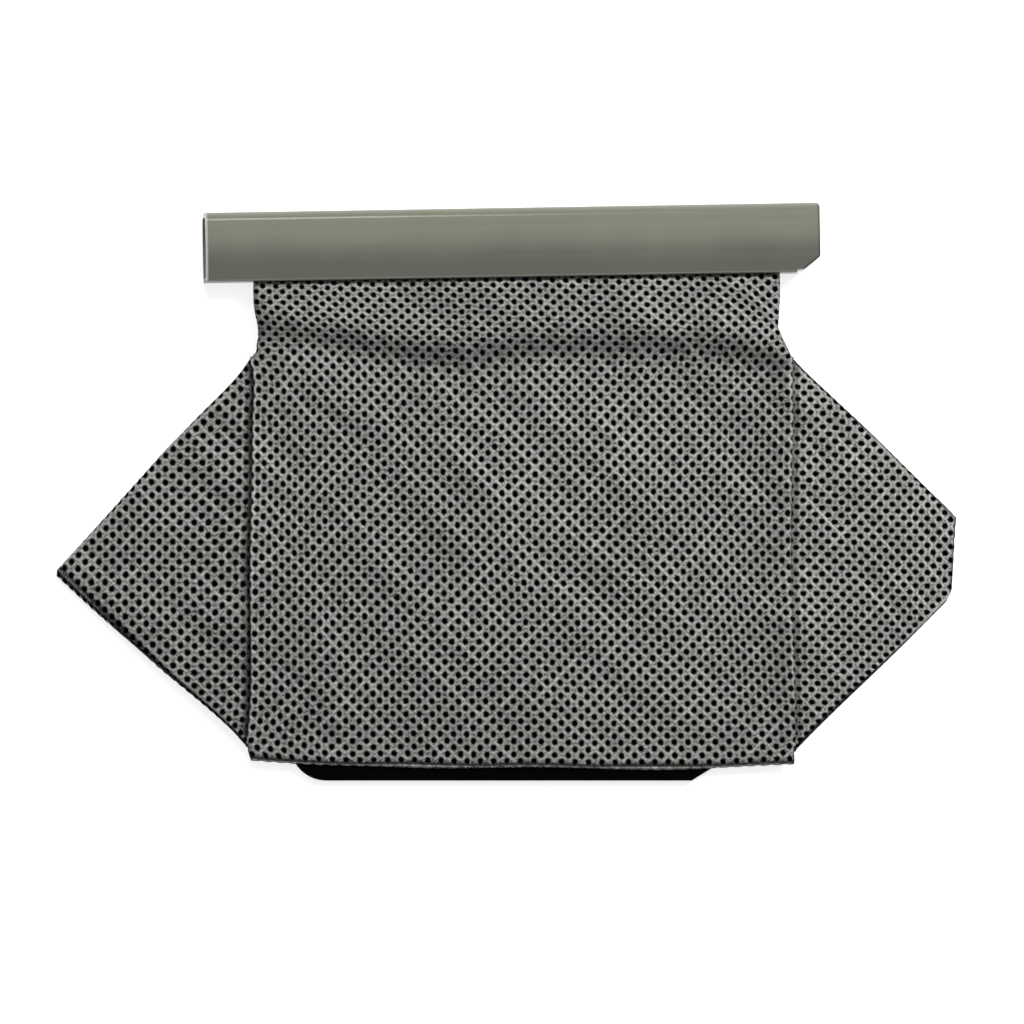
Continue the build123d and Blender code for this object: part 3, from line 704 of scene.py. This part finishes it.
def spunbond_nonwoven(cloth, corner, spread):
    """Spunbond polypropylene: soft grey fibres round dark fused dots, matt and a little uneven, with painted
    highlights round the dots and on fine creases, and painted light and shade from the sheet's marks.
    """
    material, tree = new_material("spunbond nonwoven")
    flat = add_node(tree, "ShaderNodeUVMap", uv_map="OFBake")
    place = add_node(tree, "ShaderNodeVectorMath", {0: flat, 1: (*spread, 0), 2: (*corner, 0)},
                     operation="MULTIPLY_ADD")
    cell = add_node(tree, "ShaderNodeVectorMath", {0: place, 1: (*PITCH, 1)}, operation="DIVIDE")
    # The dots are a little taller than wide, but on the right wing a little wider than tall.
    over, from_seam, _ = add_node(tree, "ShaderNodeSeparateXYZ", {0: place}).node.outputs
    right_wing = add_node(tree, "ShaderNodeMapRange",
                          {"Value": over, "From Min": PANEL_HALF, "From Max": PANEL_HALF + WALL})
    stretch = add_node(tree, "ShaderNodeMix", {0: right_wing, 4: (PITCH[0] * 1.08, PITCH[1] * 0.93, 0),
                                               5: (PITCH[0] * 0.92, PITCH[1] * 1.07, 0)},
                       data_type="VECTOR")
    ways = []
    for half in (0.5, 1.0):
        moved = add_node(tree, "ShaderNodeVectorMath", {0: cell, 1: (half, half, 0.5)}, operation="ADD")
        wrapped = add_node(tree, "ShaderNodeVectorMath", {0: moved}, operation="FRACTION")
        centred = add_node(tree, "ShaderNodeVectorMath", {0: wrapped, 1: (0.5, 0.5, 0.5)},
                           operation="SUBTRACT")
        scaled = add_node(tree, "ShaderNodeVectorMath", {0: centred, 1: stretch}, operation="MULTIPLY")
        ways.append(add_node(tree, "ShaderNodeVectorMath", {0: scaled}, operation="LENGTH"))
    away = add_node(tree, "ShaderNodeMath", dict(enumerate(ways)), operation="MINIMUM")
    # Fibres are 0.02 mm thick; these strands are 0.4 mm wide so that they show.
    strands = []
    for degrees in (35, -48):
        turned = add_node(tree, "ShaderNodeMapping",
                          {"Vector": place, "Rotation": (0, 0, math.radians(degrees)),
                           "Scale": (1.3, 0.42, 1)},
                          vector_type="TEXTURE")
        strands.append(add_node(tree, "ShaderNodeTexNoise",
                                {"Vector": turned, "Scale": 1.0, "Detail": 2.0, "Roughness": 0.6}))
    fibres = add_node(tree, "ShaderNodeMath", dict(enumerate(strands)), operation="MAXIMUM")
    ragged = add_node(tree, "ShaderNodeMath", {0: fibres, 1: 0.4, 2: away}, operation="MULTIPLY_ADD")
    radius = cloth.dot_radius / MM
    fused = add_node(tree, "ShaderNodeMapRange",
                     {"Value": ragged, "From Min": radius + 0.5, "From Max": radius + 0.04},
                     interpolation_type="SMOOTHSTEP")
    # Painted highlight: the fibres that bulge round each dot are paler from 1.7 mm in to 1.1 mm from its
    # middle.
    bulge = add_node(tree, "ShaderNodeMapRange",
                     {"Value": away, "From Min": 1.7, "From Max": 1.1, "To Min": 0.0, "To Max": 0.41},
                     interpolation_type="SMOOTHSTEP")
    pale = add_node(tree, "ShaderNodeMapRange",
                    {"Value": fibres, "From Min": 0.4, "From Max": 0.75, "To Min": -0.37, "To Max": 0.53})
    # Two places where the web is pleated and its painted crease highlights are stronger: middle and reach.
    pleats = 0.0
    for at, reach in (((58, 125, 0), 15), ((-44, 112, 0), 26)):
        away_from = add_node(tree, "ShaderNodeVectorMath", {0: place, 1: at}, operation="DISTANCE")
        near = add_node(tree, "ShaderNodeMapRange",
                        {"Value": away_from, "From Min": reach, "From Max": reach / 2, "To Max": 0.45},
                        interpolation_type="SMOOTHSTEP")
        pleats = add_node(tree, "ShaderNodeMath", {0: near, 1: pleats}, operation="MAXIMUM")
    # Painted highlights on fine creases between the rows of dots, 0.4 mm wide and about 25 mm long, most of
    # them falling right.
    creases = []
    for across, degrees, least, more in (((1, 1, 0), -45, 0.46, pleats), ((1, -1, 0), 45, 0.52, 0.0)):
        row = add_node(tree, "ShaderNodeVectorMath", {0: cell, 1: across}, operation="DOT_PRODUCT")
        between = add_node(tree, "ShaderNodeMath", {0: row, 1: 0.5}, operation="PINGPONG")
        line = add_node(tree, "ShaderNodeMapRange", {"Value": between, "From Min": 0.34, "From Max": 0.46},
                        interpolation_type="SMOOTHSTEP")
        runs = add_node(tree, "ShaderNodeMapping",
                        {"Vector": place, "Rotation": (0, 0, math.radians(degrees)), "Scale": (25, 2, 1)},
                        vector_type="TEXTURE")
        shown = add_node(tree, "ShaderNodeTexNoise", {"Vector": runs, "Scale": 1.0, "Detail": 1.0})
        shown = add_node(tree, "ShaderNodeMapRange",
                         {"Value": shown, "From Min": least, "From Max": least + 0.14, "To Min": 0.16,
                          "To Max": 0.44})
        shown = add_node(tree, "ShaderNodeMath", {0: shown, 1: more}, operation="MAXIMUM")
        creases.append(add_node(tree, "ShaderNodeMath", {0: line, 1: shown}, operation="MULTIPLY"))
    crease = add_node(tree, "ShaderNodeMath", dict(enumerate(creases)), operation="MAXIMUM")
    # Uneven web: slanting bands 6 mm wide and 45 mm long.
    slanted = add_node(tree, "ShaderNodeMapping",
                       {"Vector": place, "Rotation": (0, 0, math.radians(-44)), "Scale": (45, 6, 1)},
                       vector_type="TEXTURE")
    bands = add_node(tree, "ShaderNodeTexNoise", {"Vector": slanted, "Scale": 1.0, "Detail": 2.0})
    dense = add_node(tree, "ShaderNodeMapRange",
                     {"Value": bands, "From Min": 0.3, "From Max": 0.7, "To Min": -0.09, "To Max": 0.09})
    mixed = bulge
    for more in (pale, dense, crease):
        mixed = add_node(tree, "ShaderNodeMath", {0: mixed, 1: more}, operation="ADD")
    # The sheet's marks of painted light and shade: the light part pales the web, the shade part darkens it
    # towards the dot colour.
    mark = add_node(tree, "ShaderNodeAttribute", out="Fac", attribute_name="painted_light_marks")
    painted_light = add_node(tree, "ShaderNodeMath", {0: mark, 1: 0.0}, operation="MAXIMUM")
    tone = add_node(tree, "ShaderNodeMath", {0: painted_light, 1: 0.6, 2: mixed}, operation="MULTIPLY_ADD",
                    use_clamp=True)
    web = add_node(tree, "ShaderNodeMix", {0: tone, 6: (*cloth.shade_colour, 1), 7: (*cloth.fibre_colour, 1)},
                   data_type="RGBA")
    # Faint greenish and purplish tinges, about 6 mm across.
    tinge = add_node(tree, "ShaderNodeTexNoise", {"Vector": place, "Scale": 1 / 6, "Detail": 1.0})
    tint = add_node(tree, "ShaderNodeMix", {0: tinge, 6: (0.98, 1.02, 0.97, 1), 7: (1.02, 0.985, 1.03, 1)},
                    data_type="RGBA")
    tinted = add_node(tree, "ShaderNodeMix", {0: 1.0, 6: web, 7: tint}, data_type="RGBA",
                      blend_type="MULTIPLY")
    # The weld along the bottom edge, 1 mm wide.
    frayed = add_node(tree, "ShaderNodeMath", {0: fibres, 1: 1.4, 2: from_seam}, operation="MULTIPLY_ADD")
    weld_foot = add_node(tree, "ShaderNodeMapRange", {"Value": from_seam, "From Min": 0.45, "From Max": 0.7},
                         interpolation_type="SMOOTHSTEP")
    weld = add_node(tree, "ShaderNodeMapRange",
                    {"Value": frayed, "From Min": 2.6, "From Max": 2.0, "To Max": 0.9},
                    interpolation_type="SMOOTHSTEP")
    weld = add_node(tree, "ShaderNodeMath", {0: weld, 1: weld_foot}, operation="MULTIPLY")
    fused = add_node(tree, "ShaderNodeMath", {0: fused, 1: weld_foot}, operation="MULTIPLY")
    dark = add_node(tree, "ShaderNodeMath", {0: fused, 1: weld}, operation="MAXIMUM")
    painted_shade = add_node(tree, "ShaderNodeMath", {0: mark, 1: -1.0}, operation="MULTIPLY")
    dark = add_node(tree, "ShaderNodeMath", {0: dark, 1: painted_shade}, operation="MAXIMUM")
    colour = add_node(tree, "ShaderNodeMix", {0: dark, 6: tinted, 7: (*cloth.dot_colour, 1)},
                      data_type="RGBA")
    rough = add_node(tree, "ShaderNodeMapRange", {"Value": dark, "To Min": 0.95, "To Max": 0.7})
    raised = add_node(tree, "ShaderNodeMath", {0: fibres, 1: crease}, operation="ADD")
    bump = add_node(tree, "ShaderNodeBump", {"Height": raised, "Strength": 0.35, "Distance": 0.3 * MM})
    shader = add_node(tree, "ShaderNodeBsdfPrincipled",
                      {"Base Color": colour, "Roughness": rough, "Normal": bump, "Specular IOR Level": 0.0})
    add_node(tree, "ShaderNodeOutputMaterial", {"Surface": shader})
    return material


def extruded_vinyl(colours):
    """Extruded vinyl: semi-gloss olive with die lines, painted shade that greys it towards its open edge and
    darkens its ends, and painted highlights that pale its edges and rounded back.
    """
    material, tree = new_material("extruded vinyl")
    place = add_node(tree, "ShaderNodeTexCoord", out="Object")
    # Places along the clip, across it from its open edge, and up.
    own = add_node(tree, "ShaderNodeMapping",
                   {"Vector": place, "Location": (MOUTH_X * MM, CLIP_Y * MM, 0),
                    "Rotation": (0, 0, MOUTH_TURN)},
                   vector_type="TEXTURE")
    along, across, up = add_node(tree, "ShaderNodeSeparateXYZ", {0: own}).node.outputs
    # Soft die lines 1.5 mm wide that run for 200 mm.
    lines = add_node(tree, "ShaderNodeMapping", {"Vector": own, "Scale": (5, 667, 667)})
    streak = add_node(tree, "ShaderNodeTexNoise", {"Vector": lines, "Scale": 1.0, "Detail": 2.0})
    cloud = add_node(tree, "ShaderNodeTexNoise", {"Vector": place, "Scale": 40.0, "Detail": 2.0})
    both = add_node(tree, "ShaderNodeMath", {0: streak, 1: cloud}, operation="ADD")
    tone = add_node(tree, "ShaderNodeMapRange",
                    {"Value": both, "From Min": 0.7, "From Max": 1.3, "To Min": 0.93, "To Max": 1.07})
    # Painted shade: the face greys from 17.5 mm down to 8.5 mm above its open edge, along a wavy line.
    wavy = add_node(tree, "ShaderNodeMath", {0: cloud, 1: 9 * MM, 2: across}, operation="MULTIPLY_ADD")
    face = add_node(tree, "ShaderNodeMapRange", {"Value": wavy, "From Min": 8.5 * MM, "From Max": 17.5 * MM},
                    interpolation_type="SMOOTHSTEP")
    graded = add_node(tree, "ShaderNodeMix",
                      {0: face, 6: (*colours.clip_shade, 1), 7: (*colours.clip_colour, 1)},
                      data_type="RGBA")
    # Painted highlights: pale along the open edge, the rounded back, and 0.4 mm along the slanted cut at the
    # left end.
    # Painted shade darkens the inside of that cut.
    edge = add_node(tree, "ShaderNodeMapRange",
                    {"Value": across, "From Min": 0.6 * MM, "From Max": 0.4 * MM, "To Max": 0.45})
    from_cut = add_node(tree, "ShaderNodeMath", {0: up, 1: -math.tan(CUT_SLANT), 2: along},
                        operation="MULTIPLY_ADD")
    cut = add_node(tree, "ShaderNodeMapRange",
                   {"Value": from_cut, "From Min": (CUT_X + 0.5) * MM, "From Max": (CUT_X + 0.25) * MM})
    back = add_node(tree, "ShaderNodeMapRange",
                    {"Value": across, "From Min": 16.2 * MM, "From Max": 17.0 * MM, "To Max": 0.2},
                    interpolation_type="SMOOTHSTEP")
    edge = add_node(tree, "ShaderNodeMath", {0: edge, 1: back}, operation="MAXIMUM")
    edge_highlight = add_node(tree, "ShaderNodeMath", {0: edge, 1: cut}, operation="MAXIMUM")
    paled = add_node(tree, "ShaderNodeMix", {0: edge_highlight, 6: graded, 7: (*colours.clip_highlight_colour, 1)},
                     data_type="RGBA")
    deep = add_node(tree, "ShaderNodeMapRange",
                    {"Value": up, "From Min": 8.6 * MM, "From Max": 8.2 * MM, "To Max": 0.9})
    painted_shade_mask = add_node(tree, "ShaderNodeMath", {0: deep, 1: cut}, operation="MULTIPLY")
    # Painted shade darkens the right end and its lead-in corner over 0.4 mm.
    slope = math.hypot(*LEAD)
    from_lead = add_node(tree, "ShaderNodeVectorMath", {0: own, 1: (-LEAD[1] / slope, LEAD[0] / slope, 0)},
                         operation="DOT_PRODUCT")
    start = ((CLIP_END - LEAD[0]) * LEAD[1] - RELIEF * LEAD[0]) / slope
    from_lead = add_node(tree, "ShaderNodeMath", {0: from_lead, 1: start * MM}, operation="ADD")
    from_end = add_node(tree, "ShaderNodeMath", {0: CLIP_END * MM, 1: along}, operation="SUBTRACT")
    from_rim = add_node(tree, "ShaderNodeMath", {0: from_lead, 1: from_end}, operation="MINIMUM")
    rim = add_node(tree, "ShaderNodeMapRange",
                   {"Value": from_rim, "From Min": 0.7 * MM, "From Max": 0.3 * MM, "To Max": 0.7})
    painted_shade_mask = add_node(tree, "ShaderNodeMath", {0: painted_shade_mask, 1: rim}, operation="MAXIMUM")
    painted_shade_mixed = add_node(tree, "ShaderNodeMix", {0: painted_shade_mask, 6: paled, 7: (*colours.collar_colour, 1)},
                      data_type="RGBA")
    tinted = add_node(tree, "ShaderNodeVectorMath", {0: painted_shade_mixed, "Scale": tone}, operation="SCALE")
    rough = add_node(tree, "ShaderNodeMapRange", {"Value": streak, "To Min": 0.19, "To Max": 0.27})
    bump = add_node(tree, "ShaderNodeBump", {"Height": streak, "Strength": 0.12, "Distance": 0.05 * MM})
    shader = add_node(tree, "ShaderNodeBsdfPrincipled",
                      {"Base Color": tinted, "Roughness": rough, "Normal": bump, "IOR": 1.53})
    add_node(tree, "ShaderNodeOutputMaterial", {"Surface": shader})
    return material


def moulded_plastic(name, colour, roughness, grain, ior, specular=0.5):
    """Moulded piece with an even fine grain of a given size in millimetres."""
    material, tree = new_material(name)
    place = add_node(tree, "ShaderNodeTexCoord", out="Object")
    pits = add_node(tree, "ShaderNodeTexNoise", {"Vector": place, "Scale": 1 / (grain * MM), "Detail": 2.0})
    cloud = add_node(tree, "ShaderNodeTexNoise", {"Vector": place, "Scale": 60.0, "Detail": 3.0})
    tone = add_node(tree, "ShaderNodeMapRange",
                    {"Value": cloud, "From Min": 0.3, "From Max": 0.7, "To Min": 0.85, "To Max": 1.2})
    tinted = add_node(tree, "ShaderNodeVectorMath", {0: colour, "Scale": tone}, operation="SCALE")
    rough = add_node(tree, "ShaderNodeMapRange",
                     {"Value": pits, "To Min": roughness - 0.1, "To Max": roughness + 0.1})
    bump = add_node(tree, "ShaderNodeBump", {"Height": pits, "Strength": 0.3, "Distance": 0.08 * MM})
    shader = add_node(tree, "ShaderNodeBsdfPrincipled",
                      {"Base Color": tinted, "Roughness": rough, "Normal": bump, "IOR": ior,
                       "Specular IOR Level": specular})
    add_node(tree, "ShaderNodeOutputMaterial", {"Surface": shader})
    return material


class DUSTBAG_OT_sheets(bpy.types.Operator):
    """Add the two embossed sheets of the bag"""

    bl_idname = "dustbag.sheets"
    bl_label = "Embossed Sheets"

    def execute(self, context):
        cloth = context.scene.dustbag_cloth
        make_sheet("front_sheet", True, cloth)
        make_sheet("back_sheet", False, cloth)
        return {"FINISHED"}


class DUSTBAG_OT_clip(bpy.types.Operator):
    """Give the slide clip its finish"""

    bl_idname = "dustbag.clip"
    bl_label = "Slide Clip"

    def execute(self, context):
        dress("slide_clip", extruded_vinyl(context.scene.dustbag_plastic))
        return {"FINISHED"}


class DUSTBAG_OT_collar(bpy.types.Operator):
    """Give the collar, its clamp ring and its seal their finishes"""

    bl_idname = "dustbag.collar"
    bl_label = "Collar and Seal"

    def execute(self, context):
        colours = context.scene.dustbag_plastic
        black = moulded_plastic("matt moulded polypropylene", colours.collar_colour, 0.65, 0.5, 1.49, 0.01)
        for node in ("collar_plate", "clamp_ring"):
            dress(node, black)
        dress("inlet_seal", moulded_plastic("moulded rubber", colours.seal_colour, 0.7, 0.3, 1.52, 0.2))
        return {"FINISHED"}


class DUSTBAG_OT_strips(bpy.types.Operator):
    """Give the two mouth strips their finish"""

    bl_idname = "dustbag.strips"
    bl_label = "Mouth Strips"

    def execute(self, context):
        natural = moulded_plastic("natural polypropylene", context.scene.dustbag_plastic.strip_colour,
                                  0.4, 0.8, 1.49)
        for node in ("front_mouth_strip", "rear_mouth_strip"):
            dress(node, natural)
        return {"FINISHED"}


class DUSTBAG_OT_stage(bpy.types.Operator):
    """Add the floor, the light and the camera"""

    bl_idname = "dustbag.stage"
    bl_label = "Stage"

    FLOOR = 4.0
    FLOOR_GAP = 0.1 * MM
    FLOOR_LIFT = 0.75
    MIDDLE = (-2.6 * MM, 19.0 * MM, 6 * MM)
    KEY_FROM = (0.65, 0.75, 1.1)
    PANEL_FROM = (0.0, 0.5, 1.9)
    STRIP_FROM = (-0.14, 0.98, 1.334)
    KEY_SIZE = (0.4, 0.4)
    PANEL_SIZE = (1.0, 0.8)
    STRIP_SIZE = (0.09, 0.4)

    def execute(self, context):
        stage = context.scene.dustbag_stage
        self.add_floor()
        self.add_light(context.scene, stage)
        self.add_camera(context.scene, stage)
        context.scene.view_settings.view_transform = "Standard"
        return {"FINISHED"}

    def add_floor(self):
        tidy_selection()
        bpy.ops.mesh.primitive_plane_add(size=self.FLOOR, location=(0, 0, -self.FLOOR_GAP))
        floor = bpy.context.object
        floor.name = "floor"
        # White card: takes the shadow, lifted to white for the eye, clear when seen from below.
        material, tree = new_material("white card")
        card = add_node(tree, "ShaderNodeBsdfDiffuse", {"Color": (*linear("#f4f4f4"), 1)})
        lift = add_node(tree, "ShaderNodeMath", {0: seen_by_eye(tree), 1: self.FLOOR_LIFT},
                        operation="MULTIPLY")
        glow = add_node(tree, "ShaderNodeEmission", {"Strength": lift})
        white = add_node(tree, "ShaderNodeAddShader", {0: card, 1: glow})
        clear = add_node(tree, "ShaderNodeBsdfTransparent")
        behind = add_node(tree, "ShaderNodeNewGeometry", out="Backfacing")
        sided = add_node(tree, "ShaderNodeMixShader", {0: behind, 1: white, 2: clear})
        add_node(tree, "ShaderNodeOutputMaterial", {"Surface": sided})
        floor.data.materials.append(material)

    def add_light(self, scene, stage):
        lamps = (("key_light", self.KEY_FROM, stage.key_power, self.KEY_SIZE),
                 ("panel_light", self.PANEL_FROM, stage.panel_power, self.PANEL_SIZE),
                 ("strip_light", self.STRIP_FROM, stage.strip_power, self.STRIP_SIZE))
        for name, place, power, size in lamps:
            tidy_selection()
            bpy.ops.object.light_add(type="AREA", location=place)
            lamp = bpy.context.object
            lamp.name = name
            lamp.data.energy = power
            lamp.data.shape = "RECTANGLE"
            lamp.data.size, lamp.data.size_y = size
            lamp.rotation_euler = lamp.location.to_track_quat("Z", "Y").to_euler()
        world = bpy.data.worlds.new("studio")
        scene.world = world
        world.use_nodes = True
        tree = world.node_tree
        tree.nodes.clear()
        light, white = (add_node(tree, "ShaderNodeBackground", {"Color": (1, 1, 1, 1), "Strength": strength})
                        for strength in (stage.sky, 1.0))
        sky = add_node(tree, "ShaderNodeMixShader", {0: seen_by_eye(tree), 1: light, 2: white})
        add_node(tree, "ShaderNodeOutputWorld", {"Surface": sky})

    def add_camera(self, scene, stage):
        tidy_selection()
        bpy.ops.object.camera_add(rotation=(0, 0, 0))
        camera = bpy.context.object
        camera.name = "camera"
        camera.data.lens = stage.lens
        away = stage.frame_width * stage.lens / camera.data.sensor_width
        camera.location = (self.MIDDLE[0], self.MIDDLE[1], self.MIDDLE[2] + away)
        camera.data.clip_end = 10
        scene.camera = camera


class DUSTBAG_PT_panel(bpy.types.Panel):
    """Lists the settings and the pieces"""

    bl_idname = "DUSTBAG_PT_panel"
    bl_label = "Dust Bag"
    bl_space_type = "VIEW_3D"
    bl_region_type = "UI"
    bl_category = "Dust Bag"

    def draw(self, context):
        for group in ("dustbag_cloth", "dustbag_plastic", "dustbag_stage"):
            settings = getattr(context.scene, group)
            box = self.layout.box()
            for name in settings.__annotations__:
                box.prop(settings, name)
        for operator in OPERATORS:
            self.layout.operator(operator.bl_idname)


SETTINGS = {"dustbag_cloth": ClothSettings, "dustbag_plastic": PlasticSettings,
            "dustbag_stage": StageSettings}
OPERATORS = (DUSTBAG_OT_sheets, DUSTBAG_OT_clip, DUSTBAG_OT_collar, DUSTBAG_OT_strips, DUSTBAG_OT_stage)


def register():
    for name, group in SETTINGS.items():
        bpy.utils.register_class(group)
        setattr(bpy.types.Scene, name, bpy.props.PointerProperty(type=group))
    for item in (*OPERATORS, DUSTBAG_PT_panel):
        bpy.utils.register_class(item)


def unregister():
    for item in (DUSTBAG_PT_panel, *reversed(OPERATORS)):
        bpy.utils.unregister_class(item)
    for name, group in SETTINGS.items():
        delattr(bpy.types.Scene, name)
        bpy.utils.unregister_class(group)


def main():
    register()
    bpy.ops.dustbag.sheets()
    bpy.ops.dustbag.clip()
    bpy.ops.dustbag.collar()
    bpy.ops.dustbag.strips()
    bpy.ops.dustbag.stage()


if __name__ == "__main__":
    main()
